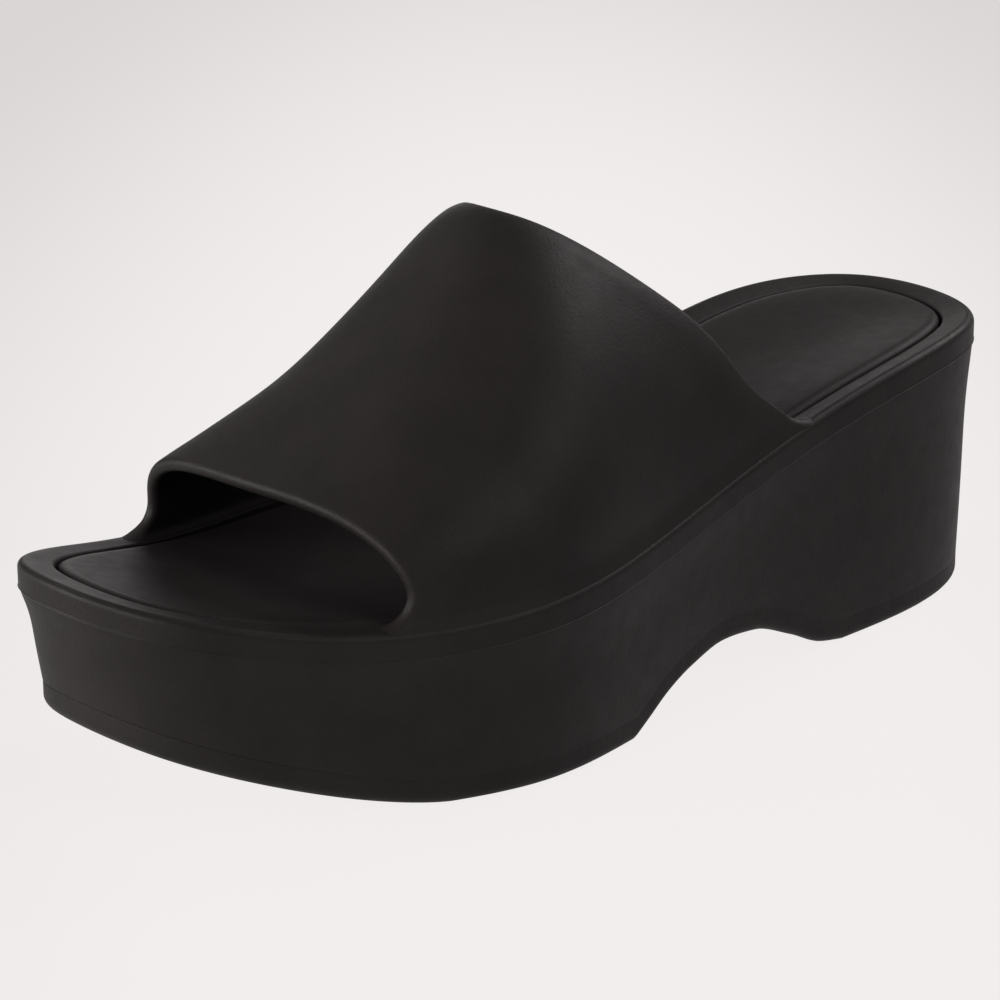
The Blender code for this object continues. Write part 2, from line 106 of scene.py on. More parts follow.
# Rim line: share along, share across, the width that the share is of
PLAN_ROWS = (
    (0.000, 0.038, HEEL_WIDTH),
    (0.037, 0.291, HEEL_WIDTH),
    (0.124, 0.454, HEEL_WIDTH),
    (0.259, 0.517, HEEL_WIDTH),
    (0.411, 0.414, BALL_WIDTH),
    (0.549, 0.486, BALL_WIDTH),
    (0.678, 0.536, BALL_WIDTH),
    (0.795, 0.458, BALL_WIDTH),
    (0.893, 0.336, BALL_WIDTH),
    (0.982, 0.144, BALL_WIDTH),
    (1.000, -0.105, BALL_WIDTH),
    (0.977, -0.308, BALL_WIDTH),
    (0.916, -0.427, BALL_WIDTH),
    (0.806, -0.458, BALL_WIDTH),
    (0.690, -0.463, BALL_WIDTH),
    (0.550, -0.412, BALL_WIDTH),
    (0.400, -0.354, BALL_WIDTH),
    (0.250, -0.484, HEEL_WIDTH),
    (0.120, -0.488, HEEL_WIDTH),
    (0.010, -0.307, HEEL_WIDTH),
)
# Rim: share along, share of the rise from ball to heel, of the toe lift, of the inward dish
RIM_ROWS = (
    (0.00, 0.991, 0.00, 1.00),
    (0.12, 1.000, 0.00, 1.00),
    (0.25, 0.834, 0.00, 1.00),
    (0.40, 0.494, 0.00, 0.55),
    (0.55, 0.174, 0.00, 0.15),
    (0.70, 0.017, 0.00, 0.00),
    (0.85, 0.000, 0.00, 0.00),
    (1.00, 0.000, 1.00, 0.00),
)
# Underside between heel and forefoot: share along, share of the arch height
ARCH_ROWS = (
    (0.262, 0.00),
    (0.290, 0.11),
    (0.330, 0.49),
    (0.385, 0.92),
    (0.430, 1.00),
    (0.480, 0.80),
    (0.515, 0.54),
    (0.545, 0.21),
    (0.565, 0.00),
)
TOE_SPRING_START = 0.762
TOE_SPRING_POWER = 1.5
# Sole wall: share up to the mould line, share of the draft, share of the cove
WALL_ROWS = (
    (0.00, 1.00, 0.00),
    (0.45, 0.62, 0.50),
    (0.82, 0.25, 1.00),
    (1.00, 0.00, 0.50),
)
# Footbed: share along, share of the heel cup, share of the ball dish, share of the toe rise
FOOTBED_ROWS = (
    (0.05, 0.00, 0.00, 0.00),
    (0.10, 0.70, 0.00, 0.00),
    (0.18, 1.00, 0.00, 0.00),
    (0.36, 0.35, 0.00, 0.00),
    (0.50, 0.00, 0.20, 0.00),
    (0.70, 0.00, 1.00, 0.20),
    (0.88, 0.00, 0.40, 1.00),
    (0.95, 0.00, 0.00, 1.00),
)
# Upper sections: share along, share of the instep height, place of the crown across, squareness
UPPER_ROWS = (
    (0.28, 0.886, 0.625, 2.09),
    (0.40, 0.988, 0.626, 1.91),
    (0.46, 1.000, 0.625, 1.80),
    (0.52, 0.994, 0.611, 1.93),
    (0.56, 0.981, 0.587, 2.01),
    (0.60, 0.898, 0.548, 2.12),
    (0.66, 0.730, 0.522, 2.18),
    (0.71, 0.583, 0.520, 2.35),
    (0.76, 0.456, 0.531, 2.83),
    (0.80, 0.369, 0.555, 3.12),
    (0.86, 0.273, 0.589, 3.12),
)
TOE_EDGE_OUTER, TOE_EDGE_CROWN, TOE_EDGE_INNER = 0.787, 0.8225, 0.803
THROAT_OUTER, THROAT_CROWN, THROAT_INNER = 0.391, 0.554, 0.373
TOE_FLARE, THROAT_FLARE = 0.020, 0.045
FLARE_REACH = 0.06
TOE_TAIL, THROAT_TAIL = 0.006, 0.018
TAIL_REACH = 0.011

# How much of the mould's flash is left along each side: share along, outer side, inner side
FLASH_ROWS = (
    (0.00, 0.70, 0.70),
    (0.10, 0.90, 0.50),
    (0.22, 0.30, 0.60),
    (0.40, 0.05, 0.20),
    (0.58, 0.10, 0.40),
    (0.68, 0.75, 0.60),
    (0.78, 0.50, 0.30),
    (0.88, 0.90, 0.80),
    (1.00, 1.00, 1.00),
)

OUTLINE_POINTS = 5760
UPPER_COLUMNS = 260
UPPER_ROW_COUNT = 110
LIP_STEPS = 14

# Camera: degrees, then metres, then the lens for a 36 mm wide picture
CAMERA_AZIMUTH = 138.185
CAMERA_ELEVATION = 18.468
CAMERA_ROLL = -0.402
CAMERA_DISTANCE = 0.8238
CAMERA_LENS = 136.45
CAMERA_AIM = (0.0, -0.0034056, 0.035)
CAMERA_SLIDE = (0.010759, -0.003564)

# Softboxes: name, degrees to the right of the camera, elevation, side of the square, power
LIGHT_DISTANCE = 1.3
LIGHT_COLOUR = (1.0, 0.955, 0.955)
ROOM_STRENGTH = 0.04
LIGHT_ROWS = (
    ("left box", 270, 12, 0.6, 12.8),
    ("left front box", 315, 12, 0.6, 15.0),
    ("front right box", 54, 38, 0.45, 6.5),
    ("right box", 90, 36, 0.6, 1.2),
    ("right rear box", 135, 38, 0.6, 9.5),
    ("rear box", 185, 12, 0.6, 1.9),
    ("left rear box", 225, 38, 0.6, 1.6),
    ("overhead box", 0, 89, 0.6, 2.0),
)


def steady_slopes(xs, ys):
    """Slopes that keep a curve from swinging past its rows: weighted harmonic means."""
    steps = np.diff(xs)
    rises = np.diff(ys) / steps
    before, after = rises[:-1], rises[1:]
    near, far = 2 * steps[1:] + steps[:-1], steps[1:] + 2 * steps[:-1]
    same = before * after > 0
    safe_before, safe_after = np.where(same, before, 1), np.where(same, after, 1)
    middle = np.where(same, (near + far) / (near / safe_before + far / safe_after), 0)
    return np.concatenate([rises[:1], middle, rises[-1:]])


def even_slopes(xs, ys):
    """Slopes that leave no jump in the curvature, and none of it at the two ends."""
    steps = np.diff(xs)
    rises = np.diff(ys) / steps
    before, after = steps[:-1], steps[1:]
    diagonal = np.concatenate([[2], 2 * (before + after), [2]])
    below, above = np.concatenate([after, [1]]), np.concatenate([[1], before])
    system = np.diag(diagonal) + np.diag(below, -1) + np.diag(above, 1)
    inside = 3 * (after * rises[:-1] + before * rises[1:])
    return np.linalg.solve(system, np.concatenate([3 * rises[:1], inside, 3 * rises[-1:]]))


def rows_as_curve(rows, column, slopes_of):
    """A smooth function of the share along, by cubics through one column of a table."""
    xs = np.array([row[0] for row in rows])
    ys = np.array([row[column] for row in rows])
    steps, slopes = np.diff(xs), slopes_of(xs, ys)

    def curve(at):
        at = np.clip(np.asarray(at, float), xs[0], xs[-1])
        i = np.clip(np.searchsorted(xs, at, side="right") - 1, 0, len(steps) - 1)
        t = (at - xs[i]) / steps[i]
        return (
            ys[i] * (1 + 2 * t) * (1 - t) ** 2
            + ys[i + 1] * t**2 * (3 - 2 * t)
            + steps[i] * (slopes[i] * t * (1 - t) ** 2 - slopes[i + 1] * t**2 * (1 - t))
        )

    return curve


def closed_spline(points, count):
    """Points along the closed curve through the given ones whose curvature has no jump."""
    steps = np.linalg.norm(np.roll(points, -1, axis=0) - points, axis=1)
    n, here = len(points), np.arange(len(points))
    before = np.roll(steps, 1)
    system = np.zeros((n, n))
    system[here, here - 1] = before
    system[here, here] = 2 * (before + steps)
    system[here, (here + 1) % n] = steps
    rises = (np.roll(points, -1, axis=0) - points) / steps[:, None]
    bends = np.linalg.solve(system, 6 * (rises - np.roll(rises, 1, axis=0)))
    ends = np.concatenate([[0], np.cumsum(steps)])
    at = np.linspace(0, ends[-1], count, endpoint=False)
    i = np.clip(np.searchsorted(ends, at, side="right") - 1, 0, n - 1)
    j = (i + 1) % n
    h = steps[i][:, None]
    b = (at - ends[i])[:, None] / h
    a = 1 - b
    lift = ((a**3 - a) * bends[i] + (b**3 - b) * bends[j]) * h**2 / 6
    return a * points[i] + b * points[j] + lift


def along_of(x):
    """Share along the shoe, 0 at the back of the heel and 1 at the toe."""
    return np.asarray(x) / LENGTH + 0.5


def eased(value):
    """0 below 0, 1 above 1, and a smooth step between them."""
    t = np.clip(value, 0, 1)
    return t * t * (3 - 2 * t)


rim_rise = rows_as_curve(RIM_ROWS, 1, even_slopes)
rim_lift = rows_as_curve(RIM_ROWS, 2, even_slopes)
rim_dish = rows_as_curve(RIM_ROWS, 3, steady_slopes)
arch_share = rows_as_curve(ARCH_ROWS, 1, steady_slopes)
wall_draft_share = rows_as_curve(WALL_ROWS, 1, even_slopes)
wall_cove_share = rows_as_curve(WALL_ROWS, 2, even_slopes)
cup_share = rows_as_curve(FOOTBED_ROWS, 1, steady_slopes)
dish_share = rows_as_curve(FOOTBED_ROWS, 2, steady_slopes)
toe_rise_share = rows_as_curve(FOOTBED_ROWS, 3, steady_slopes)
upper_height = rows_as_curve(UPPER_ROWS, 1, even_slopes)
upper_crown = rows_as_curve(UPPER_ROWS, 2, even_slopes)
upper_squareness = rows_as_curve(UPPER_ROWS, 3, even_slopes)
flash_outer = rows_as_curve(FLASH_ROWS, 1, steady_slopes)
flash_inner = rows_as_curve(FLASH_ROWS, 2, steady_slopes)


def rim_height(x):
    """Height of the rim's top: the ball's, plus shares of the rise to the heel and the toe lift."""
    s = along_of(x)
    return PLATFORM_HEIGHT + (HEEL_HEIGHT - PLATFORM_HEIGHT) * rim_rise(s) + TOE_LIFT * rim_lift(s)


def underside_height(x):
    """Height of the underside: flat under heel and ball, arched between, sprung up at the toe."""
    s = along_of(x)
    sprung = np.clip((s - TOE_SPRING_START) / (1 - TOE_SPRING_START), 0, None)
    return ARCH_HEIGHT * arch_share(s) + TOE_SPRING * sprung**TOE_SPRING_POWER


def rim_line():
    """The dense rim line seen from above, centred on the origin, with its outward normals."""
    corners = np.array([((s - 0.5) * LENGTH, share * width) for s, share, width in PLAN_ROWS])
    line = closed_spline(corners, OUTLINE_POINTS)
    line -= (line.min(axis=0) + line.max(axis=0)) / 2
    line[:, 0] *= LENGTH / np.ptp(line[:, 0])
    tangent = np.roll(line, -1, axis=0) - np.roll(line, 1, axis=0)
    tangent /= np.linalg.norm(tangent, axis=1)[:, None]
    turn = np.sign(np.sum(line[:, 0] * tangent[:, 1] - line[:, 1] * tangent[:, 0]))
    return line, np.stack([tangent[:, 1], -tangent[:, 0]], axis=1) * turn


LINE, NORMALS = rim_line()
HEEL_TIP, TOE_TIP = int(np.argmin(LINE[:, 0])), int(np.argmax(LINE[:, 0]))


def side_indices(outer):
    """Indices into LINE of one side, in order from the heel tip to the toe tip."""
    forward = np.arange(HEEL_TIP, HEEL_TIP + (TOE_TIP - HEEL_TIP) % OUTLINE_POINTS + 1)
    backward = np.arange(HEEL_TIP, HEEL_TIP - (HEEL_TIP - TOE_TIP) % OUTLINE_POINTS - 1, -1)
    forward, backward = forward % OUTLINE_POINTS, backward % OUTLINE_POINTS
    forward_is_outer = LINE[forward, 1].mean() > LINE[backward, 1].mean()
    return forward if forward_is_outer == outer else backward


OUTER_SIDE, INNER_SIDE = side_indices(True), side_indices(False)


def side_line(along, inset, outer):
    """Distance across, at shares along, of the rim line moved inwards on one side."""
    side = OUTER_SIDE if outer else INNER_SIDE
    moved = LINE[side] - NORMALS[side] * inset
    moved = moved[np.argsort(moved[:, 0])]
    return np.interp(along, along_of(moved[:, 0]), moved[:, 1])


def station_shares(extra=()):
    """Shares along at which the sole is sampled: cosine steps round both ends, even between."""
    heel = 0.12 * (1 - np.cos(np.linspace(0, math.pi / 2, 40, endpoint=False)))
    middle = np.linspace(0.12, 0.84, 190, endpoint=False)
    toe = 1 - 0.16 * (1 - np.cos(np.linspace(math.pi / 2, 0, 56)))
    return np.unique(np.concatenate([heel, middle, toe, np.asarray(extra, float)]))


class SoleRing:
    """The rim line sampled at the stations: outer side heel to toe, then inner side back."""

    def __init__(self, shares):
        self.last = len(shares) - 1
        sampled = []
        for source in (LINE, NORMALS):
            outer, inner = source[OUTER_SIDE], source[INNER_SIDE]
            out_s, in_s = along_of(LINE[OUTER_SIDE, 0]), along_of(LINE[INNER_SIDE, 0])
            back = shares[-2:0:-1]
            first = np.stack([np.interp(shares, out_s, outer[:, k]) for k in (0, 1)], axis=1)
            second = np.stack([np.interp(back, in_s, inner[:, k]) for k in (0, 1)], axis=1)
            sampled.append(np.concatenate([first, second]))
        self.points, normals = sampled
        self.normals = normals / np.linalg.norm(normals, axis=1)[:, None]
        nx, ny = self.normals[:, 0], self.normals[:, 1]
        self.draft = (
            TOE_DRAFT * np.clip(nx, 0, 1) ** 2
            + HEEL_DRAFT * np.clip(-nx, 0, 1) ** 2
            + OUTER_DRAFT * np.clip(ny, 0, 1) ** 2
            + INNER_DRAFT * np.clip(-ny, 0, 1) ** 2
        )
        s = along_of(self.points[:, 0])
        lean = eased(ny * 2 + 0.5)
        self.flash = flash_outer(s) * lean + flash_inner(s) * (1 - lean)

    def level(self, inset, height):
        """One loop: the rim line moved inwards by an inset, at a height for each point."""
        plan = self.points - self.normals * np.broadcast_to(inset, len(self.points))[:, None]
        return np.column_stack([plan, height(plan[:, 0])])

    def sides(self, loop):
        """A loop's outer and inner points, paired from the heel tip to the toe tip."""
        pairs = (-np.arange(self.last + 1)) % len(loop)
        return loop[: self.last + 1], loop[pairs]


def quarter_round(radius, steps):
    """(inset, height) pairs of a quarter round, from its low end to its top end."""
    angles = np.linspace(0, math.pi / 2, steps + 1)
    return np.stack([radius * (1 - np.cos(angles)), radius * np.sin(angles)], axis=1)


def rim_top(x, inset):
    """Height of the platform's top at an inset from the rim line.

    A quarter round at the outside, a slope down to the dished inner edge, and a small round
    at the recess."""
    outside = np.clip(RIM_EDGE_RADIUS - inset, 0, RIM_EDGE_RADIUS)
    inside = np.clip(inset - RIM_WIDTH + RIM_INNER_RADIUS, 0, RIM_INNER_RADIUS)
    across = np.clip((inset - RIM_EDGE_RADIUS) / (RIM_WIDTH - RIM_EDGE_RADIUS), 0, 1)
    return (
        rim_height(x)
        + np.sqrt(RIM_EDGE_RADIUS**2 - outside**2)
        - RIM_EDGE_RADIUS
        + np.sqrt(RIM_INNER_RADIUS**2 - inside**2)
        - RIM_INNER_RADIUS
        - RIM_DISH * rim_dish(along_of(x)) * across**1.2
    )


def across_grid(outer, inner, columns, height=None):
    """A surface of straight strips from the outer side's points to the inner side's.

    height, where given, takes the places along, the shares across from -1 to 1 and the
    straight strips' heights, and returns the heights."""
    share = np.linspace(0, 1, columns + 1)[None, :, None]
    grid = outer[:, None, :] * (1 - share) + inner[:, None, :] * share
    if height is not None:
        grid[..., 2] = height(grid[..., 0], 2 * share[..., 0] - 1, grid[..., 2])
    return grid


def new_piece(name, grids, material, node, polish=None):
    """A closed piece from grids of points, rows x columns x 3, whose borders meet.

    Neighbouring points of a grid are joined by quads, and points that coincide are merged.
    polish, where given, gives each grid's shares of polish, kept as an attribute."""
    starts = np.cumsum([0] + [grid.shape[0] * grid.shape[1] for grid in grids])
    quads = []
    for start, grid in zip(starts, grids):
        index = start + np.arange(grid.shape[0] * grid.shape[1]).reshape(grid.shape[:2])
        corners = (index[:-1, :-1], index[1:, :-1], index[1:, 1:], index[:-1, 1:])
        quads.append(np.stack(corners, axis=-1).reshape(-1, 4))
    points = np.concatenate([grid.reshape(-1, 3) for grid in grids])
    data = bpy.data.meshes.new(name)
    data.from_pydata(points, [], np.concatenate(quads))
    worn = data.attributes.new("polish", "FLOAT", "POINT")
    if polish is not None:
        worn.data.foreach_set("value", np.concatenate([p.ravel() for p in polish]).astype("f"))
    mesh = bmesh.new()
    mesh.from_mesh(data)
    bmesh.ops.remove_doubles(mesh, verts=mesh.verts, dist=2e-6)
    bmesh.ops.recalc_face_normals(mesh, faces=mesh.faces)
    mesh.to_mesh(data)
    mesh.free()
    data.shade_smooth()
    data.set_sharp_from_angle(angle=math.radians(50))
    data.materials.append(material)
    piece = bpy.data.objects.new(name, data)
    bpy.context.scene.collection.objects.link(piece)
    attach(piece, "root")
    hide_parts(node)
    return piece


def closed_loops(loops):
    """Loops stacked as a grid, each closed by its first point."""
    grid = np.stack(loops)
    return np.concatenate([grid, grid[:, :1]], axis=1)


def seam_round(x):
    """Radius of the two edges at the seam of the outsole: fine, and wider round the toe."""
    return SEAM_ROUND * (0.3 + 0.7 * eased((along_of(x) - 0.78) / 0.16))


def make_platform(material):
    """The moulded body: a drafted wall that hollows a little under the mould line, the band
    above it, the rounded rim, and the recess for the footbed.

    Going up the wall the inset is the draft and the cove, each times a smooth share of the
    height. At the mould line the wall steps out, with a thin flash on the step."""
    ring = SoleRing(station_shares())

    def on_wall(share, lift=0.0):
        def height(x):
            low = underside_height(x) + OUTSOLE_THICKNESS
            high = rim_height(x) - RIM_BAND
            return low + (high - low) * share + seam_round(x) * lift

        return height

    step = MOULD_STEP * (0.3 + 0.7 * ring.flash)

    def wall_inset(share):
        cove = WALL_COVE * wall_cove_share(share) * (1 - share**6) + step * share**6
        return ring.draft * wall_draft_share(share) + cove

    loops, polish = [], []
    seam = seam_round(ring.points[:, 0])
    for inset, rise in quarter_round(1.0, 4)[::-1]:
        loops.append(ring.level(ring.draft + seam * inset, on_wall(0, 1 - rise)))
        polish.append(0.0)
    for share in np.linspace(0.03, 1, 34):
        loops.append(ring.level(wall_inset(share), on_wall(share)))
        polish.append(0.0)
    for place in np.linspace(0, 1, 15)[1:]:
        bead = ring.flash * FLASH_HEIGHT * np.exp(-(((place - 0.62) / 0.17) ** 2))
        inset = step * (1 - eased(place / 0.62)) - bead
        depth = RIM_BAND - 3 * MOULD_STEP * place
        loops.append(ring.level(inset, lambda x, depth=depth: rim_height(x) - depth))
        polish.append(math.exp(-(((place - 0.62) / 0.3) ** 2)))
    low, high = RIM_BAND - 3 * MOULD_STEP, RIM_EDGE_RADIUS
    for depth in np.linspace(low, high, 9)[1:]:
        loops.append(ring.level(0.0, lambda x, depth=depth: rim_height(x) - depth))
        polish.append(0.0)
    outer_round = quarter_round(RIM_EDGE_RADIUS, 10)[1:, 0]
    flat = np.linspace(RIM_EDGE_RADIUS, RIM_WIDTH - RIM_INNER_RADIUS, 16)[1:]
    inner_round = RIM_WIDTH - quarter_round(RIM_INNER_RADIUS, 6)[::-1, 0][1:]
    for inset in np.concatenate([outer_round, flat, inner_round]):
        loops.append(ring.level(inset, lambda x, inset=inset: rim_top(x, inset)))
        polish.append(math.exp(-(((inset - 0.4 * RIM_EDGE_RADIUS) / RIM_EDGE_RADIUS) ** 2)))
    for share in (0.35, 0.7, 1.0):

        def in_recess(x, share=share):
            top = rim_top(x, RIM_WIDTH)
            return top + (rim_height(x) - RECESS_DEPTH - top) * share

        loops.append(ring.level(RIM_WIDTH, in_recess))
        polish.append(0.0)
    shell = closed_loops(loops)
    bottom = across_grid(*ring.sides(loops[0]), 8)
    floor = across_grid(*ring.sides(loops[-1]), 8)
    shines = [
        np.broadcast_to(np.array(polish)[:, None], shell.shape[:2]),
        np.zeros(bottom.shape[:2]),
        np.zeros(floor.shape[:2]),
    ]
    return new_piece("platform_body", [shell, bottom, floor], material, "platform", shines)


def groove_places():
    """Places along the shoe of the cross grooves, under the heel and under the forefoot."""
    places = []
    zones = ((0.045, ARCH_ROWS[0][0] - 0.03), (ARCH_ROWS[-1][0] + 0.03, 0.93))
    for start, end in zones:
        count = int((end - start) * LENGTH / GROOVE_PITCH)
        margin = ((end - start) * LENGTH - (count - 1) * GROOVE_PITCH) / 2
        places.append((start - 0.5) * LENGTH + margin + np.arange(count) * GROOVE_PITCH)
    return np.concatenate(places)


def make_outsole(material):
    """The walking layer: rounded lower edge, seam edge at the top, cross grooves underneath.

    Depth of the grooves: a flat-bottomed dip across each groove place, times a step that
    starts at the margin inside the edge."""
    grooves = groove_places()
    edges = GROOVE_WIDTH / 2 + np.array([-1, -0.5, 0, 0.5, 1]) * GROOVE_SLOPE
    walls = np.concatenate([grooves[:, None] - edges, grooves[:, None] + edges], axis=1)
    ring = SoleRing(station_shares(along_of(walls.ravel())))

    def above_ground(rise):
        return lambda x: underside_height(x) + rise

    loops = []
    for inset, down in quarter_round(OUTSOLE_EDGE_RADIUS, 8)[::-1]:
        loops.append(ring.level(ring.draft + inset, above_ground(OUTSOLE_EDGE_RADIUS - down)))
    side_top = OUTSOLE_THICKNESS - SEAM_ROUND
    for rise in np.linspace(OUTSOLE_EDGE_RADIUS, side_top, 6)[1:]:
        loops.append(ring.level(ring.draft, above_ground(rise)))
    seam = seam_round(ring.points[:, 0])
    for inset, rise in quarter_round(1.0, 4):

        def at_seam(x, rise=rise):
            return underside_height(x) + OUTSOLE_THICKNESS - seam_round(x) * (1 - rise)

        loops.append(ring.level(ring.draft + seam * inset, at_seam))
    shell = closed_loops(loops)
    top = across_grid(*ring.sides(loops[-1]), 4)

    outer, inner = ring.sides(loops[0])
    width = outer[:, 1] - inner[:, 1]
    margin = TREAD_MARGIN - OUTSOLE_EDGE_RADIUS
    near = np.array([0, 1.5, 4, 7]) * 1e-3
    near = np.concatenate([near, margin + np.array([-1, -0.5, 0, 0.5, 1]) * GROOVE_SLOPE])
    squeeze = np.minimum(1, width / (2.4 * margin))[:, None]
    inside = near[-1] * squeeze
    shares = np.linspace(0, 1, 16)[None, 1:-1]
    across = [near[None, :] * squeeze, inside + (width[:, None] - 2 * inside) * shares]
    across.append(width[:, None] - near[None, ::-1] * squeeze)
    across = np.concatenate(across, axis=1)
    share = across / np.maximum(width[:, None], 1e-9)
    from_edge = np.minimum(across, width[:, None] - across)
    station = (outer[:, :1] + inner[:, :1]) / 2
    slanted = outer[:, :1] * (1 - share) + inner[:, :1] * share
    straight = slanted + (station - slanted) * eased(from_edge / 0.007)
    nearest = np.abs(straight[..., None] - grooves).min(axis=-1)
    dip = eased((GROOVE_WIDTH / 2 + GROOVE_SLOPE - nearest) / (2 * GROOVE_SLOPE))
    ends = eased((from_edge - margin + GROOVE_SLOPE) / (2 * GROOVE_SLOPE))
    under = np.stack(
        [
            straight,
            outer[:, 1:2] - across,
            underside_height(straight) + GROOVE_DEPTH * dip * ends,
        ],
        axis=-1,
    )
    under[:, 0], under[:, -1] = outer, inner
    under[0], under[-1] = outer[0], outer[-1]
    return new_piece("outsole_tread", [shell, top, under], material, "outsole")


def footbed_top(x):
    """Height of the footbed's edge: below the rim's top at the heel, above it at the toe."""
    return rim_height(x) - FOOTBED_DROP + TOE_RISE * toe_rise_share(along_of(x))


def make_footbed(material):
    """The insole: a contoured pad with a rounded edge, lying in the recess.

    Its top is straight across less a dip of (1 - across squared) to the power of 1.5, a cup
    at the heel and a shallow dish at the ball."""
    ring = SoleRing(station_shares())
    side = RIM_WIDTH + FOOTBED_GAP

    def dished(x, across, chord):
        s = along_of(x)
        depth = HEEL_CUP_DEPTH * cup_share(s) + BALL_DISH_DEPTH * dish_share(s)
        return chord - depth * np.clip(1 - across**2, 0, 1) ** 1.5

    loops, polish = [], []
    for share in np.linspace(0, 1, 4):

        def on_side(x, share=share):
            low, high = rim_height(x) - RECESS_DEPTH + BOND_GAP, footbed_top(x) - FOOTBED_EDGE_RADIUS
            return low + (high - low) * share

        loops.append(ring.level(side, on_side))
        polish.append(0.0)
    for inset, rise in quarter_round(FOOTBED_EDGE_RADIUS, 12)[1:]:
        depth = FOOTBED_EDGE_RADIUS - rise
        inset *= 1 + FOOTBED_BEVEL / FOOTBED_EDGE_RADIUS
        loops.append(ring.level(side + inset, lambda x, depth=depth: footbed_top(x) - depth))
        polish.append(1.0)
    shell = closed_loops(loops)
    bottom = across_grid(*ring.sides(loops[0]), 4)
    top = across_grid(*ring.sides(loops[-1]), 72, dished)
    edge = np.linspace(-1, 1, top.shape[1]) ** 2
    shines = [
        np.broadcast_to(np.array(polish)[:, None], shell.shape[:2]),
        np.zeros(bottom.shape[:2]),
        np.broadcast_to(edge[None, :] ** 8, top.shape[:2]),
    ]
    return new_piece("footbed_pad", [shell, bottom, top], material, "footbed", shines)


def edge_flare(t):
    """1 where the upper's edge meets the rim, falling to 0 a little way up the wall."""
    return np.exp(-((np.minimum(t, 1 - t) / FLARE_REACH) ** 2))


def edge_tail(t):
    """1 where the upper's edge meets the rim, falling off at once, for a low tail on the rim."""
    return np.exp(-np.minimum(t, 1 - t) / TAIL_REACH)


def toe_edge(t):
    """Share along of the toe opening's edge; t is 0 at the wall's outer foot, 1 at its inner."""
    bow = 4 * t * (1 - t)
    sides = TOE_EDGE_OUTER + (TOE_EDGE_INNER - TOE_EDGE_OUTER) * t
    middle = (TOE_EDGE_OUTER + TOE_EDGE_INNER) / 2
    runout = TOE_FLARE * edge_flare(t) + TOE_TAIL * edge_tail(t)
    return sides + (TOE_EDGE_CROWN - middle) * bow + runout


def throat_edge(t):
    """Share along of the throat's edge: furthest forward over the crown."""
    sides = THROAT_OUTER + (THROAT_INNER - THROAT_OUTER) * t
    swept = np.sin(math.pi * t) ** 2
    runout = THROAT_FLARE * edge_flare(t) + THROAT_TAIL * edge_tail(t)
    return sides + (THROAT_CROWN - sides) * swept - runout


def upper_face(back, t):
    """Points of the upper's outer face: a share back from the toe edge, t of the way over.

    The section at one share along is a superellipse standing on the rim. Its crown is moved
    to one side by a parabola, so that the two halves meet with no crease."""
    s = toe_edge(t) + (throat_edge(t) - toe_edge(t)) * back
    outer, inner = side_line(s, UPPER_LEDGE, True), side_line(s, UPPER_LEDGE, False)
    squareness = upper_squareness(s)
    cosine, sine = np.cos(math.pi * t), np.abs(np.sin(math.pi * t))
    reach = (np.abs(cosine) ** squareness + sine**squareness) ** (-1 / squareness)
    across = reach * cosine
    half, crown = (outer - inner) / 2, outer + (inner - outer) * upper_crown(s)
    y = crown + half * across + ((outer + inner) / 2 - crown) * across**2
    x = (s - 0.5) * LENGTH
    z = rim_height(x) + INSTEP_HEIGHT * upper_height(s) * reach * sine
    return np.stack([x, y, z], axis=-1)


def rim_inset(points):
    """Distance of points from the rim line on their own side, from the gap across."""
    s = along_of(points[..., 0])
    outer = points[..., 1] > 0
    gaps = []
    for side, sign in ((OUTER_SIDE, 1), (INNER_SIDE, -1)):
        shares, line, normals = along_of(LINE[side, 0]), LINE[side, 1], NORMALS[side, 1]
        gap = sign * (np.interp(s, shares, line) - points[..., 1])
        gaps.append(gap * np.abs(np.interp(s, shares, normals)))
    return np.where(outer, gaps[0], gaps[1])


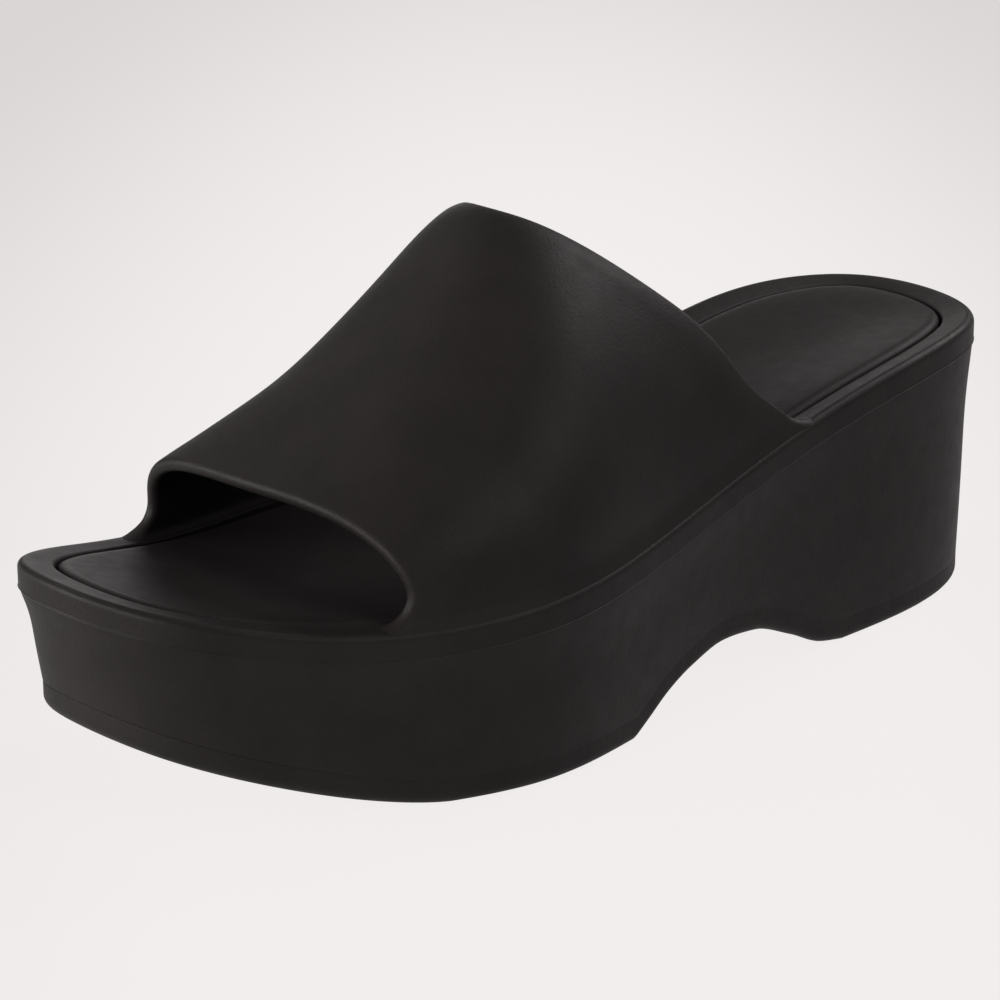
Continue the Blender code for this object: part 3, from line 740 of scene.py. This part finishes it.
def make_upper(material):
    """The upper: a curved wall with full round lips, spreading into the rim by a fillet.

    The wall is the outer face moved inwards by a depth. Round a lip the depth grows as half
    of (1 - cosine) while the edge stands out as the sine. Near the rim each point moves
    outwards, level, by width times left to the fillet's power, where left is 1 at the rim and
    0 at the fillet's top."""
    even = np.linspace(0, 1, UPPER_COLUMNS + 1)
    t = (1 - np.cos(math.pi * even)) / 2 * 0.82 + even * 0.18
    near_foot = np.linspace(0, 1, 15)[1:] ** 2 * 0.014
    t = np.unique(np.concatenate([t[(t > 0.015) & (t < 0.985)], [0, 1], near_foot, 1 - near_foot]))
    ends = upper_face(np.ones_like(t), t) - upper_face(np.zeros_like(t), t)
    half_wall = (UPPER_WALL / 2 / np.linalg.norm(ends, axis=1))[None, :]
    shares = np.linspace(half_wall, 1 - half_wall, UPPER_ROW_COUNT)[:, 0]
    angles = np.linspace(0, math.pi, LIP_STEPS + 1)[1:-1, None]
    stand, depth = np.sin(angles) ** 0.85, (1 - np.cos(angles)) / 2
    flat = np.zeros((UPPER_ROW_COUNT, 1))
    back = np.concatenate(
        [shares, 1 - half_wall * (1 - stand), shares[::-1], half_wall * (1 - stand)]
    )
    depth = np.concatenate([flat, depth, flat + 1, depth[::-1]])
    lip = np.concatenate([flat, stand, flat, stand])
    t = np.broadcast_to(t, back.shape)

    step = 1e-4
    lengthwise = upper_face(back + step, t) - upper_face(back - step, t)
    low, high = np.clip(t - step, 0, 1), np.clip(t + step, 0, 1)
    over = upper_face(back, high) - upper_face(back, low)
    inwards = np.cross(over, lengthwise)
    inwards /= np.linalg.norm(inwards, axis=-1)[..., None]
    span = np.linalg.norm(ends, axis=1)[None, :]
    near_throat = np.clip(1 - (1 - back) * span / ROLL_REACH, 0, 1) ** 2
    near_toe = np.clip(1 - back * span / ROLL_REACH, 0, 1) ** 2
    roll = (THROAT_ROLL * near_throat + TOE_ROLL * near_toe) * (1 - depth)
    roll *= eased(np.minimum(t, 1 - t) / 0.05)
    points = upper_face(back, t) + inwards * (depth * UPPER_WALL + roll)[..., None]
    at_foot = (t == 0) | (t == 1)
    points[at_foot, 2] = rim_height(points[at_foot, 0])

    # Outward and level: across for the two faces, along the shoe for the two lips
    around = np.roll(points, -1, axis=0) - np.roll(points, 1, axis=0)
    upwards = np.gradient(points, axis=1)
    outwards = np.cross(around, upwards)
    middle = outwards.shape[1] // 2
    outwards *= np.sign(outwards[UPPER_ROW_COUNT // 2, middle, 2])
    level = outwards[..., :2]
    level = level / np.maximum(np.linalg.norm(level, axis=-1), 1e-12)[..., None]
    height = points[..., 2] - rim_height(points[..., 0])
    lip_part = lip_share(lip)
    faces = np.clip(depth, 0, 1)
    width, reach = (
        (OUTER_FILLET[k] * (1 - faces) + INNER_FILLET[k] * faces) * (1 - lip_part)
        + LIP_FILLET[k] * lip_part
        for k in (0, 1)
    )
    left = np.clip(1 - height / reach, 0, 1)
    points[..., :2] += level * (width * left**FILLET_POWER)[..., None]
    x = points[..., 0]
    inset = np.clip(rim_inset(points), 0, RIM_WIDTH - RIM_INNER_RADIUS)
    below = rim_height(x) + BOND_SINK - rim_top(x, inset)
    points[..., 2] = rim_height(x) + height - left**2 * below
    shine = np.broadcast_to(lip * 0.8, t.shape)

    wall = np.concatenate([points, points[:1]])
    shines = [np.concatenate([shine, shine[:1]])]
    feet = []
    for column in (0, -1):
        feet.append(foot_strip(points[:, column]))
        shines.append(np.zeros(feet[-1].shape[:2]))
    return new_piece("upper_wall", [wall, *feet], material, "upper", shines)


def lip_share(lip):
    """How far a place on the wall's round belongs to a lip, eased into the faces beside it."""
    spread = lip[:, 0].copy()
    kernel = np.hanning(9)
    padded = np.concatenate([spread[-8:], spread, spread[:8]])
    spread = np.convolve(padded, kernel / kernel.sum(), mode="same")[8:-8]
    return np.clip(spread, 0, 1)[:, None]


def foot_strip(loop):
    """Closes the foot of the wall: straight strips between its outer and its inner half."""
    half = len(loop) // 2
    start = UPPER_ROW_COUNT + (LIP_STEPS - 1) // 2
    turned = np.roll(loop, -start, axis=0)
    one, other = turned[: half + 1], np.concatenate([turned[:1], turned[half:][::-1]])
    share = np.linspace(0, 1, 3)[None, :, None]
    return one[:, None, :] * (1 - share) + other[: half + 1, None, :] * share


def node_of(tree, kind, **values):
    """A new node with its settings and unlinked inputs set."""
    node = tree.nodes.new(kind)
    for key, value in values.items():
        if key in node.inputs:
            node.inputs[key].default_value = value
        else:
            setattr(node, key, value)
    return node


def noise(tree, place, scale, detail, roughness=0.5):
    """Noise of a size, in waves a metre, at the piece's own places."""
    node = node_of(tree, "ShaderNodeTexNoise", Scale=scale, Detail=detail, Roughness=roughness)
    tree.links.new(place, node.inputs["Vector"])
    return node.outputs["Fac"]


def remap(tree, value, low, high, to_low, to_high):
    """A value moved from one range to another, held within it."""
    node = tree.nodes.new("ShaderNodeMapRange")
    tree.links.new(value, node.inputs["Value"])
    node.inputs["From Min"].default_value = low
    node.inputs["From Max"].default_value = high
    node.inputs["To Min"].default_value = to_low
    node.inputs["To Max"].default_value = to_high
    return node.outputs["Result"]


def bump(tree, height, distance, strength, below=None):
    """A bump of a depth in metres, laid over the one below it."""
    node = node_of(tree, "ShaderNodeBump", Distance=distance, Strength=strength)
    tree.links.new(height, node.inputs["Height"])
    if below is not None:
        tree.links.new(below, node.inputs["Normal"])
    return node.outputs["Normal"]


def moulded_foam(name, shade, rough, polished, grain, grain_depth, specular):
    """Matt moulded foam: soft mottling and a fine speckle of the shade, slow waves from the
    mould, a skin grain and pores, and a smoother skin where the piece's polish is high."""
    material = bpy.data.materials.new(name)
    material.use_nodes = True
    tree = material.node_tree
    shader = tree.nodes["Principled BSDF"]
    place = tree.nodes.new("ShaderNodeTexCoord").outputs["Object"]
    cloud = remap(tree, noise(tree, place, 70, 3), 0.3, 0.7, 0, 0.6)
    speckle = remap(tree, noise(tree, place, grain, 2), 0.3, 0.7, 0, 0.4)
    mottle = node_of(tree, "ShaderNodeMath", operation="ADD")
    tree.links.new(cloud, mottle.inputs[0])
    tree.links.new(speckle, mottle.inputs[1])
    colour = tree.nodes.new("ShaderNodeMix")
    colour.data_type = "RGBA"
    colour.inputs[6].default_value = (*[channel * 0.75 for channel in shade], 1)
    colour.inputs[7].default_value = (*[channel * 1.25 for channel in shade], 1)
    tree.links.new(mottle.outputs[0], colour.inputs[0])
    tree.links.new(colour.outputs[2], shader.inputs["Base Color"])

    worn = node_of(tree, "ShaderNodeAttribute", attribute_name="polish")
    uneven = remap(tree, noise(tree, place, 260, 2), 0.3, 0.7, rough - 0.03, rough + 0.03)
    smoother = remap(tree, worn.outputs["Fac"], 0, 1, 0, rough - polished)
    gloss = node_of(tree, "ShaderNodeMath", operation="SUBTRACT")
    tree.links.new(uneven, gloss.inputs[0])
    tree.links.new(smoother, gloss.inputs[1])
    tree.links.new(gloss.outputs[0], shader.inputs["Roughness"])

    waves = bump(tree, noise(tree, place, 38, 1), 0.0004, 0.25)
    skin = bump(tree, noise(tree, place, grain, 3, 0.6), grain_depth, 0.6, waves)
    pores = node_of(tree, "ShaderNodeTexVoronoi", Scale=grain * 0.45)
    tree.links.new(place, pores.inputs["Vector"])
    pits = remap(tree, pores.outputs["Distance"], 0.0, 0.35, 0, 1)
    tree.links.new(bump(tree, pits, grain_depth * 0.5, 0.4, skin), shader.inputs["Normal"])
    shader.inputs["Specular IOR Level"].default_value = specular
    shader.inputs["IOR"].default_value = 1.45
    return material


def glowing_floor_with_painted_pool():
    """A pale matt floor that glows by its own emission, with a painted pool of light: brighter round
    the shoe than far from it.
    """
    material = bpy.data.materials.new("pale floor")
    material.use_nodes = True
    tree = material.node_tree
    shader = tree.nodes["Principled BSDF"]
    place = tree.nodes.new("ShaderNodeTexCoord").outputs["Object"]
    turned = tree.nodes.new("ShaderNodeMapping")
    turned.vector_type = "TEXTURE"
    turned.inputs["Rotation"].default_value = (0, 0, math.radians(CAMERA_AZIMUTH))
    turned.inputs["Scale"].default_value = (0.27, 1.15, 1)
    tree.links.new(place, turned.inputs["Vector"])
    # Painted light: a spherical gradient centred under the shoe, for a painted pool of light on the
    # floor
    painted_light_pool = node_of(tree, "ShaderNodeTexGradient", gradient_type="SPHERICAL")
    tree.links.new(turned.outputs["Vector"], painted_light_pool.inputs["Vector"])
    ramp = tree.nodes.new("ShaderNodeValToRGB")
    ramp.color_ramp.interpolation = "EASE"
    ramp.color_ramp.elements[0].color = (0.72, 0.695, 0.69, 1)
    ramp.color_ramp.elements[1].color = (0.92, 0.89, 0.885, 1)
    ramp.color_ramp.elements[1].position = 0.75
    tree.links.new(painted_light_pool.outputs["Fac"], ramp.inputs["Fac"])
    shader.inputs["Base Color"].default_value = (0.035, 0.034, 0.034, 1)
    shader.inputs["Roughness"].default_value = 1.0
    shader.inputs["Specular IOR Level"].default_value = 0.0
    # Painted light: the floor glows, brighter in the painted pool round the shoe and darker far out
    tree.links.new(ramp.outputs["Color"], shader.inputs["Emission Color"])
    shader.inputs["Emission Strength"].default_value = 0.92
    return material


def make_floor():
    """A wide flat square under the shoe."""
    data = bpy.data.meshes.new("floor")
    data.from_pydata([(-6, -6, 0), (6, -6, 0), (6, 6, 0), (-6, 6, 0)], [], [(0, 1, 2, 3)])
    data.materials.append(glowing_floor_with_painted_pool())
    floor = bpy.data.objects.new("floor", data)
    bpy.context.scene.collection.objects.link(floor)


def camera_axes():
    """The camera's right, up and backward directions from its azimuth, elevation and roll."""
    a, e, r = (math.radians(v) for v in (CAMERA_AZIMUTH, CAMERA_ELEVATION, CAMERA_ROLL))
    back = np.array([math.sin(a) * math.cos(e), -math.cos(a) * math.cos(e), math.sin(e)])
    right = np.cross(-back, (0, 0, 1))
    right /= np.linalg.norm(right)
    up = np.cross(right, -back)
    return right * math.cos(r) + up * math.sin(r), up * math.cos(r) - right * math.sin(r), back


def matrix_at(right, up, back, place):
    """A 4 x 4 placement from three axes and a place."""
    return Matrix([*np.column_stack([right, up, back, place]).tolist(), [0, 0, 0, 1]])


def make_camera():
    """The camera at the photo's angle, without shift or depth of field."""
    right, up, back = camera_axes()
    place = CAMERA_AIM - right * CAMERA_SLIDE[0] - up * CAMERA_SLIDE[1] + back * CAMERA_DISTANCE
    data = bpy.data.cameras.new("camera")
    data.sensor_width = 36
    data.lens = CAMERA_LENS
    data.clip_start, data.clip_end = 0.01, 50
    camera = bpy.data.objects.new("camera", data)
    bpy.context.scene.collection.objects.link(camera)
    camera.matrix_world = matrix_at(right, up, back, place)
    bpy.context.scene.camera = camera


def softbox(name, azimuth, elevation, size, power):
    """A square light aimed at the shoe, its azimuth measured from the camera's to the right."""
    right, _, back = camera_axes()
    ground = np.array([back[0], back[1], 0]) / math.hypot(back[0], back[1])
    side = np.array([right[0], right[1], 0]) / math.hypot(right[0], right[1])
    a, e = math.radians(azimuth), math.radians(elevation)
    level = side * math.sin(a) + ground * math.cos(a)
    away = level * math.cos(e) + np.array([0, 0, math.sin(e)])
    across = np.cross((0, 0, 1), level)
    light = bpy.data.lights.new(name, "AREA")
    light.shape = "SQUARE"
    light.size = size
    light.color = LIGHT_COLOUR
    light.energy = power
    box = bpy.data.objects.new(name, light)
    bpy.context.scene.collection.objects.link(box)
    place = away * LIGHT_DISTANCE + np.array([0, 0, CAMERA_AIM[2]])
    box.matrix_world = matrix_at(across, np.cross(away, across), away, place)


def make_light():
    """Soft studio light: a dim even room and the softboxes of the table."""
    world = bpy.data.worlds.new("dim room")
    bpy.context.scene.world = world
    world.use_nodes = True
    room = world.node_tree.nodes["Background"]
    room.inputs["Color"].default_value = (0.80, 0.78, 0.78, 1)
    room.inputs["Strength"].default_value = ROOM_STRENGTH
    for row in LIGHT_ROWS:
        softbox(*row)


def main():
    shade = (0.0096, 0.0079, 0.0079)
    foam = moulded_foam("black foam", shade, 0.56, 0.49, 1500, 0.00012, 0.13)
    tread = moulded_foam("black tread", shade, 0.60, 0.54, 1300, 0.00012, 0.13)
    bed = moulded_foam("black footbed", (0.0110, 0.0092, 0.0092), 0.58, 0.52, 1300, 0.00010, 0.11)
    make_platform(foam)
    make_outsole(tread)
    make_footbed(bed)
    make_upper(foam)
    make_floor()
    make_camera()
    make_light()
    bpy.context.scene.view_settings.view_transform = "Standard"


main()
